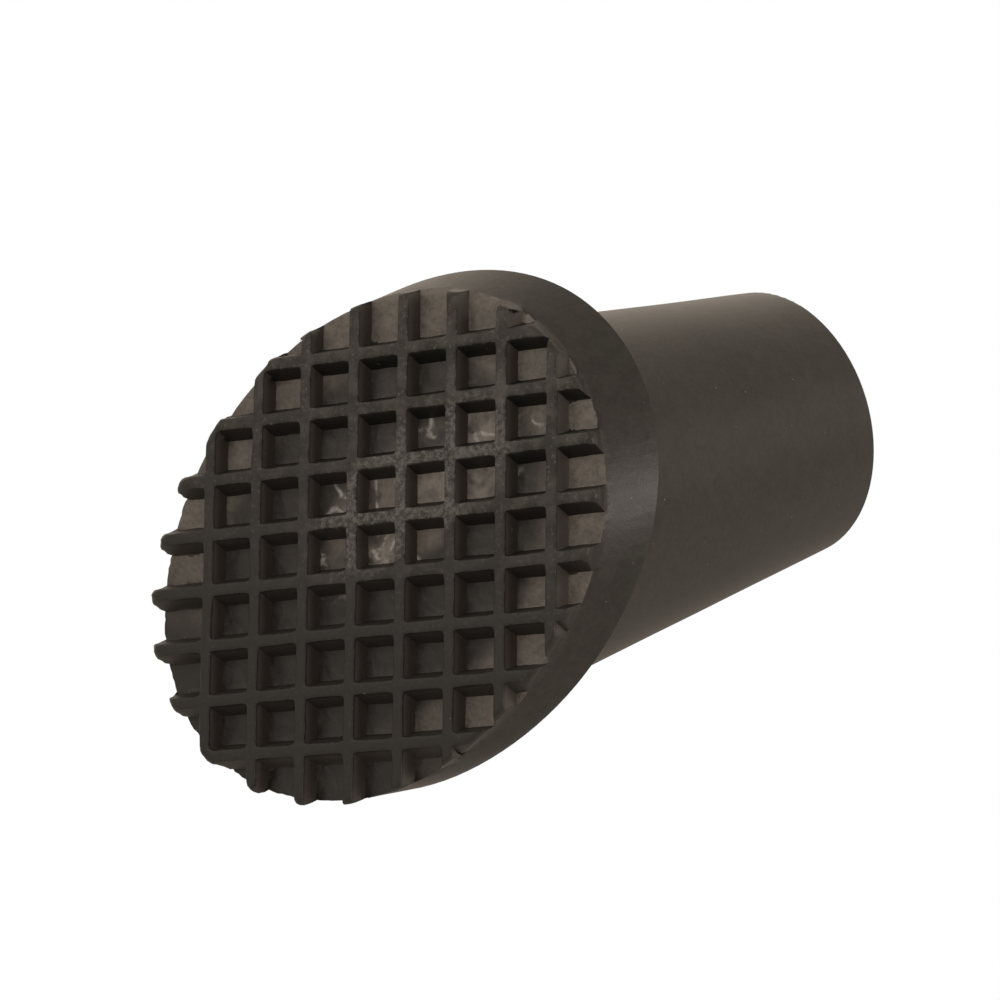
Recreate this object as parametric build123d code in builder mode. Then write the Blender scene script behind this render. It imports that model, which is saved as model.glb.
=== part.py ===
from build123d import *
from math import cos, radians, sin, tan
import os

# All sizes are in millimetres and degrees
# The boot stands on its tread: z = 0 is the plane of the rib tips and +X is the side the sleeve leans to

# Foot
sole_width = 48.0
sole_length = 56.5
sole_setback = 0.2
sole_edge_break = 0.35
foot_thickness = 7.0
foot_ledge = 4.8
foot_edge_break = 0.5

# Sleeve over the end of the stand leg
sleeve_lean_angle = 30.0
sleeve_reach = 59.4
sleeve_mouth_diameter = 29.6
sleeve_root_diameter = 42.0
sleeve_root_fillet = 3.0
mouth_edge_radius = 0.8

# Blind bore for the stand leg
bore_diameter = 22.0
bore_depth = 42.0
bore_lead_in = 0.8
bore_end_break = 2.0

# Tread of crossed ribs, with steeper sides on the first set than on the set across it
rib_count = 8
rib_spacing = 5.8
rib_tip_width = 1.1
rib_tip_break = 0.1
rib_draft_angle = 9.5
cross_rib_draft_angle = 21.0
tread_depth = 2.1
tread_turn_angle = 44.0
tread_shift = 0.7

# Sizes that follow from the ones above
lean_cosine = cos(radians(sleeve_lean_angle))
lean_sine = sin(radians(sleeve_lean_angle))
lean_tangent = tan(radians(sleeve_lean_angle))
mouth_radius = sleeve_mouth_diameter / 2
root_radius = sleeve_root_diameter / 2
sleeve_narrowing = (root_radius - mouth_radius) / sleeve_reach
sleeve_start = -root_radius * lean_tangent
sleeve_start_radius = root_radius - sleeve_start * sleeve_narrowing
sleeve_radius_at_foot = root_radius - foot_thickness / lean_cosine * sleeve_narrowing
sole_half_width = sole_width / 2
sole_half_length = sole_length / 2
foot_half_width = sleeve_radius_at_foot + foot_ledge
foot_half_length = foot_half_width / lean_cosine

# The sleeve's foot is set so that the whole boot is centred over the origin
mouth_far_x = sleeve_reach * lean_sine + mouth_radius * lean_cosine
sleeve_x = (sole_half_length + sole_setback - mouth_far_x) / 2
sole_x = sleeve_x - sole_setback

# Planes of the foot, the sleeve and its mouth
sole_plane = Plane(origin=(sole_x, 0, 0))
tread_plane = Plane(origin=(sleeve_x, 0, 0))
tread_floor_plane = sole_plane.offset(tread_depth)
foot_back_plane = Plane(origin=(sleeve_x + foot_thickness * lean_tangent, 0, foot_thickness))
sleeve_direction = (lean_sine, 0, lean_cosine)
sleeve_plane = Plane(origin=tread_plane.origin, x_dir=(lean_cosine, 0, -lean_sine), z_dir=sleeve_direction)
mouth_plane = sleeve_plane.offset(sleeve_reach)


def make_tread_gaps():
    """The gaps between the ribs, as the block of the mould that forms them."""
    overrun = foot_half_length * 2
    with BuildPart() as gaps:
        with BuildSketch(tread_plane):
            Circle(overrun)
        extrude(amount=tread_depth)

        # Two crossed sets of ribs, thicker at the root
        rib_sets = (
            (tread_turn_angle, tread_shift, rib_draft_angle),
            (tread_turn_angle + 90, 0, cross_rib_draft_angle),
        )
        for turn, shift, draft in rib_sets:
            across = (cos(radians(turn)), sin(radians(turn)), 0)
            along = (sin(radians(turn)), -cos(radians(turn)), 0)
            rib_root_width = rib_tip_width + 2 * tread_depth * tan(radians(draft))
            with BuildSketch(Plane(origin=tread_plane.origin, x_dir=across, z_dir=along)) as rib_profiles:
                with Locations((shift, 0)):
                    with GridLocations(rib_spacing, rib_spacing, rib_count, 1):
                        Trapezoid(
                            rib_root_width,
                            tread_depth,
                            90 + draft,
                            align=(Align.CENTER, Align.MIN),
                        )
                chamfer(rib_profiles.vertices().group_by(Axis.Y)[0], rib_tip_break)
            extrude(amount=overrun, both=True, mode=Mode.SUBTRACT)
    return gaps.part


def make_sleeve():
    """The tapered sleeve as a solid cone, cut off level with the floor of the tread."""
    with BuildPart() as sleeve:
        with BuildSketch(sleeve_plane.offset(sleeve_start)):
            Circle(sleeve_start_radius)
        with BuildSketch(mouth_plane):
            Circle(mouth_radius)
        loft()
        split(bisect_by=tread_floor_plane, keep=Keep.TOP)
    return sleeve.part


tread_gaps = make_tread_gaps()
sleeve_cone = make_sleeve()

with BuildPart() as boot:
    # Foot: a slanted slice that widens from the tread's floor to its back edge
    with BuildSketch(tread_floor_plane):
        Ellipse(sole_half_length, sole_half_width)
    with BuildSketch(foot_back_plane):
        Ellipse(foot_half_length, foot_half_width)
    loft()
    chamfer(boot.faces().sort_by(Axis.Z)[-1].edges(), foot_edge_break)

    # Sleeve, blended into the back of the foot
    add(sleeve_cone)
    root_edges = boot.edges(Select.LAST).filter_by_position(
        Axis.Z, foot_thickness - foot_edge_break / 2, foot_thickness + foot_edge_break / 2
    )
    fillet(root_edges, sleeve_root_fillet)
    fillet(boot.faces().sort_by(Axis(mouth_plane.origin, mouth_plane.z_dir))[-1].edges(), mouth_edge_radius)

    # Blind bore from the mouth
    with BuildSketch(mouth_plane):
        Circle(bore_diameter / 2)
    extrude(amount=-bore_depth, mode=Mode.SUBTRACT)
    bore_edges = boot.edges(Select.LAST).filter_by(GeomType.CIRCLE).sort_by(Axis.Z)
    chamfer(bore_edges[0], bore_end_break)
    chamfer(bore_edges[-1], bore_lead_in)

    # Tread: the sole's layer of rubber with the gaps taken out of it
    with BuildSketch(sole_plane):
        Ellipse(sole_half_length, sole_half_width)
    extrude(amount=tread_depth)
    chamfer(boot.faces().sort_by(Axis.Z)[0].edges(), sole_edge_break)
    add(tread_gaps, mode=Mode.SUBTRACT)

boot.part.label = "side_stand_boot"

os.makedirs("parts", exist_ok=True)
export_step(boot.part, "parts/side_stand_boot.step")
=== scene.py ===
from math import cos, hypot, radians, sin

import bmesh
import bpy
from mathutils import Matrix, Vector, noise


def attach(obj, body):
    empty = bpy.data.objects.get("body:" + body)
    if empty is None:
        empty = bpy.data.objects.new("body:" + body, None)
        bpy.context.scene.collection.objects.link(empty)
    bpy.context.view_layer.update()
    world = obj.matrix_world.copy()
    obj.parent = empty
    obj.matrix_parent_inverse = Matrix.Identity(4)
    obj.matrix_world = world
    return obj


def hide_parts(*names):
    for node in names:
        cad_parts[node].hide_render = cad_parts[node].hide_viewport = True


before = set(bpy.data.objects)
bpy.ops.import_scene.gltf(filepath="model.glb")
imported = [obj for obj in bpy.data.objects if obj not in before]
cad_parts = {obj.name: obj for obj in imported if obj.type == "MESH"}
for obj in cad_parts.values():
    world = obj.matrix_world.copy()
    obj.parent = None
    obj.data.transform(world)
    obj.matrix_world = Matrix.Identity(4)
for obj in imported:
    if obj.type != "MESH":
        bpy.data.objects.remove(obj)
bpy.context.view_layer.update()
MM = 0.001

# Sole, tread and sleeve, as the source gives them, in millimetres and degrees
SOLE_X = -7.2335
SOLE_HALF_WIDTH = 24.0
SOLE_HALF_LENGTH = 28.25
SLEEVE_X = -7.0335
SLEEVE_LEAN = 30.0
SLEEVE_REACH = 59.4
SLEEVE_ROOT_RADIUS = 21.0
SLEEVE_MOUTH_RADIUS = 14.8
FOOT_THICKNESS = 7.0
TREAD_DEPTH = 2.1
TREAD_TURN = 44.0
TREAD_SHIFT = 0.7
RIB_SPACING = 5.8
RIB_COUNT = 8
SLEEVE_ROOT = Vector((SLEEVE_X * MM, 0, 0))
SLEEVE_AXIS = Vector((sin(radians(SLEEVE_LEAN)), 0, cos(radians(SLEEVE_LEAN))))
ACROSS_RIBS = Vector((cos(radians(TREAD_TURN)), sin(radians(TREAD_TURN)), 0))
ALONG_RIBS = Vector((-sin(radians(TREAD_TURN)), cos(radians(TREAD_TURN)), 0))

# How far the foot's side is shifted and the cross ribs' tips reach further out, in millimetres
SIDE_SHIFT = 0.8
RIB_END_REACH = 0.75

# The outermost part of the sole, over which both set in: its start and its width, where 1 is the edge
EDGE_START = 0.945
EDGE_WIDTH = 0.045

# Longest edges of the finer mesh, step by step, and how far up the finest ones go, in millimetres
EDGE_LIMITS = (12, 6, 3, 1.6, 1.1, 0.75)
COARSE_EDGE = 1.6
FINE_BELOW = 3.6

# The most that the sleeve's facets lie off its true cone, in millimetres
SLEEVE_FACET_DEPTH = 0.05

# Where the tread's edges are eased and its rib ends rounded, in millimetres and in parts of the sole
EASED_BELOW = 1.7
EASED_FLOOR_REACH = 0.94
ROUNDED_BELOW = 1.3
ROUNDED_REACH = 0.955
ROUNDED_SIDE = -8.0

# Uneven rubber: where the waves start, how often each turns in a millimetre and its size in millimetres
WAVE_SEED = 1
SLOW_WAVE = (0.07, 0.10)
TREAD_WAVES = ((0.4, 0.06), (1.1, 0.035))

# The middle of the tread, where the rib tips are worn and the gap floors carry painted reflections, a
# slanted ellipse, in millimetres along the tread's own axes
WORN_AND_SHEEN_ACROSS = 5.0
WORN_AND_SHEEN_ALONG = -5.8
WORN_AND_SHEEN_HALF_WIDTH = 9.5
WORN_AND_SHEEN_HALF_LENGTH = 8.5
WORN_AND_SHEEN_SLANT = 0.8

# The photograph's view, in metres
CAMERA_PLACE = Vector((0.090391, 0.199433, -0.339395))
CAMERA_RIGHT = Vector((0.630117, 0.599278, 0.493780))
CAMERA_UP = Vector((0.747277, -0.640814, -0.175880))
CAMERA_BACK = CAMERA_RIGHT.cross(CAMERA_UP)
CAMERA_LENS = 144.0
CAMERA_SENSOR = 36.0

# The studio, in metres
FLOOR_RADIUS = 3.0
FLOOR_DROP = 0.0003
LIGHT_TARGET = Vector((0, 0, 0.025))
WARM = (1.0, 0.90, 0.80)
LESS_WARM = (1.0, 0.90, 0.85)


# Shader helpers
class Value:
    """A number or socket whose arithmetic adds Math nodes."""

    def __init__(self, shader, socket):
        self.shader = shader
        self.socket = socket

    def _math(self, operation, *others, swap=False):
        values = [self, *others]
        if swap:
            values.reverse()
        made = self.shader.add("ShaderNodeMath", {"operation": operation}, dict(enumerate(values)))
        return Value(self.shader, made.outputs[0])

    def __add__(self, other):
        return self._math("ADD", other)

    def __sub__(self, other):
        return self._math("SUBTRACT", other)

    def __rsub__(self, other):
        return self._math("SUBTRACT", other, swap=True)

    def __mul__(self, other):
        return self._math("MULTIPLY", other)

    def __truediv__(self, other):
        return self._math("DIVIDE", other)

    def __pow__(self, other):
        return self._math("POWER", other)

    def __neg__(self):
        return self._math("MULTIPLY", -1)

    __radd__ = __add__
    __rmul__ = __mul__

    def abs(self):
        return self._math("ABSOLUTE")

    def floor(self):
        return self._math("FLOOR")

    def root(self):
        return self._math("SQRT")

    def least(self, other):
        return self._math("MINIMUM", other)

    def most(self, other):
        return self._math("MAXIMUM", other)

    def rise(self, start, end):
        """0 before start and 1 after end, with a smooth step between."""
        made = self.shader.add(
            "ShaderNodeMapRange",
            {"interpolation_type": "SMOOTHSTEP"},
            {"Value": self, "From Min": start, "From Max": end},
        )
        return Value(self.shader, made.outputs[0])

    def fall(self, start, end):
        """1 before start and 0 after end, with a smooth step between."""
        return 1 - self.rise(start, end)


class Shader:
    """A node tree whose nodes all come from one method."""

    def __init__(self, owner):
        owner.use_nodes = True
        self.tree = owner.node_tree
        self.tree.nodes.clear()

    def add(self, kind, settings=None, inputs=None):
        node = self.tree.nodes.new(kind)
        for name, setting in (settings or {}).items():
            setattr(node, name, setting)
        for name, value in (inputs or {}).items():
            socket = node.inputs[name]
            if isinstance(value, Value):
                value = value.socket
            if isinstance(value, bpy.types.NodeSocket):
                self.tree.links.new(value, socket)
            else:
                socket.default_value = value
        return node

    def colour_mix(self, amount, first, second):
        """first where amount is 0 and second where it is 1."""
        made = self.add("ShaderNodeMix", {"data_type": "RGBA"}, {0: amount, 6: first, 7: second})
        return made.outputs[2]

    def noise(self, place, scale, detail=2.0, roughness=0.5, distortion=0.0):
        inputs = {
            "Vector": place,
            "Scale": scale,
            "Detail": detail,
            "Roughness": roughness,
            "Distortion": distortion,
        }
        return Value(self, self.add("ShaderNodeTexNoise", None, inputs).outputs[0])

    def parts(self, vector):
        made = self.add("ShaderNodeSeparateXYZ", None, {0: vector})
        return [Value(self, output) for output in made.outputs]


def tone(red, green, blue):
    return (red, green, blue, 1.0)


# The rubber's tones
BLACK_SKIN = tone(0.002, 0.0016, 0.0013)
RED_BROWN_SKIN = tone(0.018, 0.0145, 0.0125)
GREEN_BROWN_SKIN = tone(0.014, 0.0150, 0.0105)
# Rib tips: dark and clean, lighter with dust and a painted light falloff, and rubbed light
CLEAN_TIP = tone(0.0012, 0.0011, 0.0010)
DUSTY_LIT_TIP = tone(0.060, 0.058, 0.055)
RUBBED_TIP = tone(0.105, 0.110, 0.112)
# Rib sides, painted as lit and shaded copies of the rubber
LIT_RIB_SIDE = tone(0.042, 0.0375, 0.034)
SHADED_CROSS_RIB_SIDE = tone(0.022, 0.0195, 0.0175)
DEEP_SHADED_CROSS_RIB_SIDE = tone(0.003, 0.0026, 0.0023)
DARK_FLOOR = tone(0.002, 0.0017, 0.0015)
# A gap floor lighter with dust and a painted light falloff
DUSTY_LIT_FLOOR = tone(0.020, 0.018, 0.016)
# Painted reflections on the gap floors
SHEEN_FLOOR = tone(0.140, 0.129, 0.118)
BRIGHT_SHEEN_FLOOR = tone(0.245, 0.235, 0.222)
# A painted glint of reflection on the gap floors, and a light speck
GLINT = tone(0.42, 0.425, 0.43)
SPECK = tone(0.20, 0.18, 0.16)


# Rubber
def reach_on_sole(place, height):
    """How far out on the sole a point lies, 1 at its edge, with the shift of the side taken back."""
    x = place[0] / MM
    y = place[1] / MM
    slope_x = (x - SOLE_X) / SOLE_HALF_LENGTH**2
    slope_y = y / SOLE_HALF_WIDTH**2
    slope = (slope_x**2 + slope_y**2).root()
    share = ((slope_x * ALONG_RIBS.x + slope_y * ALONG_RIBS.y) / slope).abs()
    shift = share * height * SIDE_SHIFT / TREAD_DEPTH
    reach_x = (x + shift * ALONG_RIBS.x - SOLE_X) / SOLE_HALF_LENGTH
    reach_y = (y + shift * ALONG_RIBS.y) / SOLE_HALF_WIDTH
    return (reach_x**2 + reach_y**2).root()


def moulded_rubber():
    """Black-brown rubber: mottled skin, dull rib tips lighter towards one side with dust and a painted light
    falloff, dark rib sides painted as lit and shaded, and gap floors with painted reflections and glints.
    """
    material = bpy.data.materials.new("moulded_rubber")
    shader = Shader(material)
    coordinates = shader.add("ShaderNodeTexCoord")
    place = coordinates.outputs["Object"]
    facing = shader.parts(coordinates.outputs["Normal"])

    # The tread's own axes, in millimetres from where the sleeve's axis meets the ground
    tread_place = shader.add(
        "ShaderNodeMapping",
        {"vector_type": "TEXTURE"},
        {
            "Vector": place,
            "Location": SLEEVE_ROOT,
            "Rotation": (0, 0, radians(TREAD_TURN)),
            "Scale": (MM, MM, MM),
        },
    ).outputs[0]
    across, along, height = shader.parts(tread_place)
    sole_reach = reach_on_sole(shader.parts(place), height)

    # Where on the boot a point lies
    downward = (-facing[2]).rise(0.93, 0.99)
    low = height.fall(TREAD_DEPTH + 0.15, TREAD_DEPTH + 0.3)
    in_tread = low * sole_reach.fall(0.985, 0.999)
    rib_tip = height.fall(0.12, 0.5)
    gap_floor = downward * height.rise(TREAD_DEPTH - 0.4, TREAD_DEPTH - 0.2) * low
    rib_side = in_tread * (1 - downward) * height.rise(0.1, 0.5)

    # Each gap has a number of its own and a place counted from its middle
    gap_across = ((across - TREAD_SHIFT) / RIB_SPACING + 0.5).floor()
    gap_along = (along / RIB_SPACING + 0.5).floor()
    gap = shader.add("ShaderNodeCombineXYZ", None, {0: gap_across, 1: gap_along, 2: 3.7})
    gap_number = shader.add("ShaderNodeTexWhiteNoise", None, {0: gap.outputs[0]})
    gap_draw = Value(shader, gap_number.outputs[0])
    from_middle = along - gap_along * RIB_SPACING

    # Black-brown skin, mottled in patches and finely speckled
    broad = shader.noise(place, 90, 3, 0.55)
    middle = shader.noise(tread_place, 0.5, 4, 0.6)
    fine = shader.noise(tread_place, 1.9, 3, 0.6)
    grain = shader.noise(tread_place, 6.0, 2, 0.5)
    mottle = middle.rise(0.3, 0.7) * 0.55 + fine.rise(0.3, 0.7) * 0.45
    brown = shader.colour_mix(broad.rise(0.38, 0.62), RED_BROWN_SKIN, GREEN_BROWN_SKIN)
    skin = shader.colour_mix(mottle, BLACK_SKIN, brown)

    # Rib tips are lighter towards the side that the sleeve leans to, partly dust specks and partly a painted
    # light falloff, and rubbed light in the worn middle
    dust_and_lit_side = (across * 0.35 - along * 0.94).rise(-14, 20)
    slanted = (across - WORN_AND_SHEEN_ACROSS + (along - WORN_AND_SHEEN_ALONG) * WORN_AND_SHEEN_SLANT) / WORN_AND_SHEEN_HALF_WIDTH
    from_worn_and_sheen_middle = (slanted**2 + ((along - WORN_AND_SHEEN_ALONG) / WORN_AND_SHEEN_HALF_LENGTH) ** 2).root()
    worn_and_sheen_middle = from_worn_and_sheen_middle.fall(0.80, 1.15)
    near_middle = from_worn_and_sheen_middle.fall(0.4, 1.7)
    dust_and_light = (dust_and_lit_side * 0.30 + near_middle * 0.25) * (0.1 + 1.7 * middle.rise(0.38, 0.66))
    dust_and_light = dust_and_light + (dust_and_lit_side * 0.7 + 0.15) * fine.rise(0.54, 0.72)
    dust_and_light = dust_and_light + dust_and_lit_side * grain.rise(0.6, 0.75) * 0.45
    dust_and_light = dust_and_light + worn_and_sheen_middle * fine.rise(0.45, 0.62) * grain.rise(0.4, 0.6)
    tips = shader.colour_mix(dust_and_light, CLEAN_TIP, DUSTY_LIT_TIP)
    rubbed = worn_and_sheen_middle * (fine * 0.75 + grain * 0.25).rise(0.38, 0.68)
    tips = shader.colour_mix(rubbed * 0.8, tips, RUBBED_TIP)
    colour = shader.colour_mix(rib_tip * in_tread, skin, tips)

    # Rib sides as lit and shaded copies: the sides facing one way across the ribs painted lighter as lit,
    # the others, mostly the cross ribs', painted darker as shaded, darker still towards the side that the
    # sleeve leans to
    turned = facing[0] * ACROSS_RIBS.x + facing[1] * ACROSS_RIBS.y
    shaded_cross_side = shader.colour_mix(dust_and_lit_side, SHADED_CROSS_RIB_SIDE, DEEP_SHADED_CROSS_RIB_SIDE)
    side = shader.colour_mix(turned.rise(0.3, 0.6), shaded_cross_side, LIT_RIB_SIDE)
    colour = shader.colour_mix(rib_side, colour, side)

    # Gap floors: a dark base, then painted reflections, lighter near the sole's edge and in the middle of
    # the tread, each one differently
    # The floors' base is lighter in patches towards the side that the sleeve leans to, partly dust and
    # partly a painted light falloff
    floor_base = shader.colour_mix(dust_and_lit_side * mottle, DARK_FLOOR, DUSTY_LIT_FLOOR)
    colour = shader.colour_mix(gap_floor, colour, floor_base)
    edge_sheen_gaps = sole_reach.rise(0.68, 0.80) * (along * 0.9 - across * 0.5).fall(9, 20)
    patch = 0.3 + 0.7 * shader.noise(tread_place, 0.33, 2, 0.5, 0.3).rise(0.38, 0.50)
    middle_sheen_gaps = worn_and_sheen_middle * (0.35 + 0.65 * gap_draw.rise(0.1, 0.4)) * patch
    # A painted highlight at one end of each floor, along the ribs
    end_sheen = from_middle.rise(1.3, 1.9)
    sheen_gap = (edge_sheen_gaps * (0.75 + 0.25 * mottle)).most(middle_sheen_gaps) * (0.85 + 0.35 * end_sheen)
    sheen_gap = sheen_gap * (0.72 + 0.28 * fine.rise(0.3, 0.62) + 0.25 * middle.rise(0.35, 0.65))
    colour = shader.colour_mix((gap_floor * sheen_gap).least(1), colour, SHEEN_FLOOR)
    # Brighter painted reflections on some floors in the middle
    bright_sheen_gap = gap_floor * middle_sheen_gaps * gap_draw.rise(0.35, 0.6) * middle.rise(0.35, 0.6)
    colour = shader.colour_mix(bright_sheen_gap * 0.7, colour, BRIGHT_SHEEN_FLOOR)

    # Painted glints, thin bright arcs of reflection on the gap floors in the middle, and light specks
    contour = (shader.noise(tread_place, 0.24, 1, 0.5, 0.4) - 0.5).abs()
    glint = contour.fall(0.0, 0.045) * middle.rise(0.42, 0.58) * (0.6 + 0.4 * fine.rise(0.3, 0.6))
    glint = glint * gap_floor * from_worn_and_sheen_middle.fall(1.0, 1.35)
    colour = shader.colour_mix(glint, colour, GLINT)
    speck = shader.noise(tread_place, 2.1, 1, 0.5)
    colour = shader.colour_mix(speck.rise(0.79, 0.83) * 0.6, colour, SPECK)

    # A fine grain all over and soft folds in the gap floors
    roughness = 0.34 + 0.10 * middle + rib_tip * in_tread * 0.10 + rib_side * 0.15
    relief = fine * 0.5 + grain * 0.25 + middle * 0.5
    bump = shader.add("ShaderNodeBump", None, {"Strength": 0.3, "Distance": 0.10 * MM, "Height": relief})
    wrinkle = shader.noise(tread_place, 0.45, 2, 0.45, 0.4) * gap_floor
    folds = shader.add(
        "ShaderNodeBump",
        None,
        {"Strength": 0.3, "Distance": 0.30 * MM, "Height": wrinkle, "Normal": bump.outputs[0]},
    )
    surface = shader.add(
        "ShaderNodeBsdfPrincipled",
        None,
        {
            "Base Color": colour,
            "Roughness": roughness,
            "Normal": folds.outputs[0],
            "Specular IOR Level": 0.5,
        },
    )
    shader.add("ShaderNodeOutputMaterial", None, {0: surface.outputs[0]})
    return material


# Boot
def share_of(value):
    """The value, kept between 0 and 1."""
    return min(max(value, 0), 1)


def outward(x, y):
    """How far out on the sole a place lies, 1 at its edge."""
    return hypot((x - SOLE_X) / SOLE_HALF_LENGTH, y / SOLE_HALF_WIDTH)


def refine(bm):
    """Flat faces are cut anew, and long edges are halved until the faces are small enough to bend."""
    bmesh.ops.remove_doubles(bm, verts=bm.verts, dist=0.001 * MM)
    bmesh.ops.dissolve_limit(bm, angle_limit=radians(0.4), verts=bm.verts, edges=bm.edges)
    bmesh.ops.triangulate(bm, faces=bm.faces, quad_method="BEAUTY", ngon_method="BEAUTY")
    for limit in EDGE_LIMITS:
        long_edges = []
        for edge in bm.edges:
            middle = (edge.verts[0].co + edge.verts[1].co) / 2
            allowed = limit if middle.z < FINE_BELOW * MM else max(limit, COARSE_EDGE)
            if edge.calc_length() > allowed * MM:
                long_edges.append(edge)
        bmesh.ops.subdivide_edges(bm, edges=long_edges, cuts=1)
        bmesh.ops.triangulate(bm, faces=bm.faces)


def round_sleeve(bm):
    """The sleeve's facets are rounded out to its true cone."""
    taper = (SLEEVE_ROOT_RADIUS - SLEEVE_MOUTH_RADIUS) / SLEEVE_REACH
    for vertex in bm.verts:
        reach = (vertex.co - SLEEVE_ROOT).dot(SLEEVE_AXIS)
        centre = SLEEVE_ROOT + SLEEVE_AXIS * reach
        radius = SLEEVE_ROOT_RADIUS * MM - reach * taper
        offset = vertex.co - centre
        on_sleeve = abs(offset.length - radius) < SLEEVE_FACET_DEPTH * MM
        if on_sleeve and vertex.co.z > FOOT_THICKNESS * MM:
            vertex.co = centre + offset.normalized() * radius


def shift_side(bm):
    """The foot's side lies towards one side of the tread, and the cross ribs' tips reach further out."""
    bm.normal_update()
    moves = []
    for vertex in bm.verts:
        x, y, z = vertex.co / MM
        edge_share = (outward(x, y) - EDGE_START) / EDGE_WIDTH
        in_tread = z < TREAD_DEPTH + 0.05
        if z > FOOT_THICKNESS or (in_tread and edge_share < 0):
            continue
        facing = Vector(((x - SOLE_X) / SOLE_HALF_LENGTH**2, y / SOLE_HALF_WIDTH**2, 0)).normalized()
        sideways = facing.dot(ALONG_RIBS)
        if not in_tread:
            height = (FOOT_THICKNESS - z) / (FOOT_THICKNESS - TREAD_DEPTH)
            moves.append((vertex, -ALONG_RIBS * abs(sideways) * height * SIDE_SHIFT))
            continue

        # In the tread a cross rib's side slides along the rib, so that it stays flat
        height = z / TREAD_DEPTH * min(edge_share, 1)
        move = -ALONG_RIBS * abs(sideways) * height
        on_cross_rib = any(abs(face.normal.dot(ALONG_RIBS)) > 0.85 for face in vertex.link_faces)
        if on_cross_rib and abs(facing.dot(ACROSS_RIBS)) > 0.4:
            move = -ACROSS_RIBS * sideways * abs(sideways) * height / facing.dot(ACROSS_RIBS)

        # A cross rib's tip reaches further out where the sleeve leans away, but not at a crossing
        across = (vertex.co / MM - SLEEVE_ROOT / MM).dot(ACROSS_RIBS) - TREAD_SHIFT
        half_count = RIB_COUNT // 2
        rib = min(max(round(across / RIB_SPACING - 0.5), -half_count), half_count - 1) + 0.5
        reach = share_of((abs(across - rib * RIB_SPACING) - 1.0) / 0.6)
        reach *= share_of(-facing.dot(ACROSS_RIBS) / 0.6) * share_of((0.37 - sideways) / 0.25)
        reach *= min(edge_share, 1) * max(1 - z / TREAD_DEPTH, 0)
        moves.append((vertex, move * SIDE_SHIFT - ACROSS_RIBS * reach * RIB_END_REACH))
    for vertex, move in moves:
        vertex.co += move * MM


def open_folds(bm):
    """Gap floor faces that the shift has folded over are drawn open again."""
    for _ in range(8):
        bm.normal_update()
        folded = set()
        for face in bm.faces:
            from_floor = abs(face.calc_center_median().z / MM - TREAD_DEPTH)
            if face.normal.z > 0.2 and from_floor < 0.2:
                folded.update(face.verts)
        folded = [vertex for vertex in bm.verts if vertex in folded]
        bmesh.ops.smooth_vert(bm, verts=folded, factor=0.5, use_axis_x=True, use_axis_y=True)


def ease_tread(bm):
    """The moulded edges of the tread are eased, most at the cross ribs' free ends."""
    tread = []
    rib_ends = []
    for vertex in bm.verts:
        x, y, z = vertex.co / MM
        reach = outward(x, y)
        free_side = (x - SOLE_X) * ACROSS_RIBS.x + y * ACROSS_RIBS.y < ROUNDED_SIDE
        if z < EASED_BELOW or (z < TREAD_DEPTH + 0.1 and reach < EASED_FLOOR_REACH):
            tread.append(vertex)
        if z < ROUNDED_BELOW and reach > ROUNDED_REACH and free_side:
            rib_ends.append(vertex)
    for verts, factor in ((rib_ends, 0.5), (rib_ends, 0.5), (tread, 0.35)):
        bmesh.ops.smooth_vert(
            bm, verts=verts, factor=factor, use_axis_x=True, use_axis_y=True, use_axis_z=True
        )


def add_waves(bm):
    """Uneven rubber: a slow wave everywhere and quicker ones in the tread, which stays flat at its tips."""
    noise.seed_set(WAVE_SEED)
    for vertex in bm.verts:
        place = vertex.co / MM
        pace, size = SLOW_WAVE
        wave = noise.noise_vector(place * pace) * size
        if place.z < TREAD_DEPTH + 0.3:
            for pace, size in TREAD_WAVES:
                wave += noise.noise_vector(place * pace) * size
        if place.z < 0.4:
            wave.z *= 0.3
        vertex.co += wave * MM


def boot_skin():
    """The boot's rubber: the CAD shape with finer faces, slightly uneven as moulded and worn rubber is."""
    mesh = bpy.data.meshes.new("boot_skin")
    bm = bmesh.new()
    bm.from_mesh(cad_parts["side_stand_boot"].data)
    refine(bm)
    round_sleeve(bm)
    shift_side(bm)
    open_folds(bm)
    ease_tread(bm)
    add_waves(bm)
    for face in bm.faces:
        face.smooth = True
    for edge in bm.edges:
        edge.smooth = len(edge.link_faces) == 2 and edge.calc_face_angle() < radians(50)
    bm.to_mesh(mesh)
    bm.free()
    skin = bpy.data.objects.new("boot_skin", mesh)
    bpy.context.scene.collection.objects.link(skin)
    mesh.materials.append(moulded_rubber())
    even = skin.modifiers.new("even_shading", "WEIGHTED_NORMAL")
    even.keep_sharp = True
    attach(skin, "root")
    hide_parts("side_stand_boot")


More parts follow.
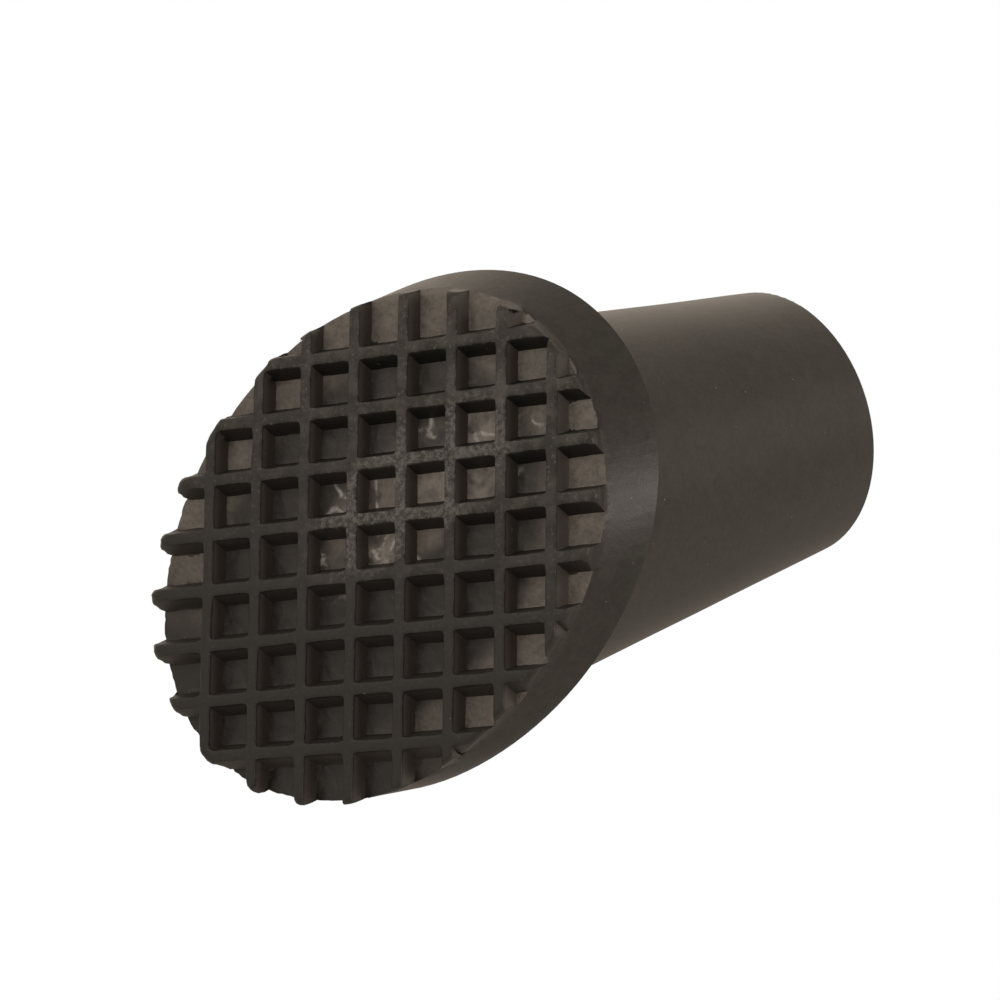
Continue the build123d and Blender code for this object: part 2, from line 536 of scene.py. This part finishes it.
# Studio
def studio_floor():
    """A pale floor that shows only from above, so that the tread can be seen from below."""
    bm = bmesh.new()
    bmesh.ops.create_circle(bm, cap_ends=True, radius=FLOOR_RADIUS, segments=96)
    mesh = bpy.data.meshes.new("studio_floor")
    bm.to_mesh(mesh)
    bm.free()
    floor = bpy.data.objects.new("studio_floor", mesh)
    bpy.context.scene.collection.objects.link(floor)
    mesh.transform(Matrix.Translation((0, 0, -FLOOR_DROP)))
    material = bpy.data.materials.new("pale_floor")
    shader = Shader(material)
    geometry = shader.add("ShaderNodeNewGeometry")
    paint = shader.add("ShaderNodeBsdfDiffuse", None, {"Color": tone(0.68, 0.79, 0.94)})
    haze = shader.add("ShaderNodeEmission", None, {"Color": tone(0.30, 0.30, 0.30), "Strength": 1.0})
    pale = shader.add("ShaderNodeAddShader", None, {0: paint.outputs[0], 1: haze.outputs[0]})
    clear = shader.add("ShaderNodeBsdfTransparent")
    one_sided = shader.add(
        "ShaderNodeMixShader",
        None,
        {0: geometry.outputs["Backfacing"], 1: pale.outputs[0], 2: clear.outputs[0]},
    )
    shader.add("ShaderNodeOutputMaterial", None, {0: one_sided.outputs[0]})
    mesh.materials.append(material)
    floor.visible_shadow = False
    floor.visible_diffuse = False
    floor.visible_glossy = False


def soft_light(name, toward, distance, size, power, colour):
    """A round area light, in the given direction from the boot and aimed at it."""
    lamp = bpy.data.lights.new(name, "AREA")
    lamp.shape = "DISK"
    lamp.size = size
    lamp.energy = power
    lamp.color = colour
    light = bpy.data.objects.new(name, lamp)
    bpy.context.scene.collection.objects.link(light)
    direction = Vector(toward).normalized()
    light.location = LIGHT_TARGET + direction * distance
    light.rotation_euler = direction.to_track_quat("Z", "Y").to_euler()
    light.visible_camera = False


def world_light(level, behind_top, behind_low):
    """A warm pale studio, brighter behind the photograph's top and dimmer behind its foot, seen as white."""
    world = bpy.data.worlds.new("studio_world")
    bpy.context.scene.world = world
    shader = Shader(world)
    direction = shader.add("ShaderNodeTexCoord").outputs["Generated"]

    def towards(vector, start, end):
        vectors = {0: direction, 1: vector.normalized()}
        dot = shader.add("ShaderNodeVectorMath", {"operation": "DOT_PRODUCT"}, vectors)
        return Value(shader, dot.outputs["Value"]).rise(start, end)

    top = towards(CAMERA_UP * 0.55 - CAMERA_BACK * 0.83, 0.86, 1.0)
    low = towards(CAMERA_UP * -0.60 - CAMERA_BACK * 0.75, 0.45, 0.95)
    glow = shader.add(
        "ShaderNodeBackground",
        None,
        {0: tone(1.0, 0.865, 0.725), 1: level + top * behind_top - low * behind_low},
    )
    white = shader.add("ShaderNodeBackground", None, {0: tone(1.0, 1.0, 1.0), 1: 1.0})
    path = shader.add("ShaderNodeLightPath")
    seen = shader.add(
        "ShaderNodeMixShader",
        None,
        {0: path.outputs["Is Camera Ray"], 1: glow.outputs[0], 2: white.outputs[0]},
    )
    shader.add("ShaderNodeOutputWorld", None, {0: seen.outputs[0]})


def photo_camera():
    """The camera at the photograph's place and angle."""
    lens = bpy.data.cameras.new("photo_camera")
    lens.lens = CAMERA_LENS
    lens.sensor_width = CAMERA_SENSOR
    lens.clip_start = 0.02
    camera = bpy.data.objects.new("photo_camera", lens)
    bpy.context.scene.collection.objects.link(camera)
    turn = Matrix((CAMERA_RIGHT, CAMERA_UP, CAMERA_BACK)).transposed().to_4x4()
    camera.matrix_world = Matrix.Translation(CAMERA_PLACE) @ turn
    bpy.context.scene.camera = camera


boot_skin()
studio_floor()
world_light(0.74, 0.32, 0.32)
soft_light("tread_light", (0.12, -0.50, -0.86), 0.8, 0.40, 0.55, WARM)
soft_light("band_light", (0.77, 0.611, -0.17), 1.05, 0.26, 1.75, LESS_WARM)
soft_light("side_light", (0.80, 0.40, 0.46), 1.0, 0.60, 0.30, WARM)
photo_camera()
bpy.context.scene.view_settings.view_transform = "Standard"
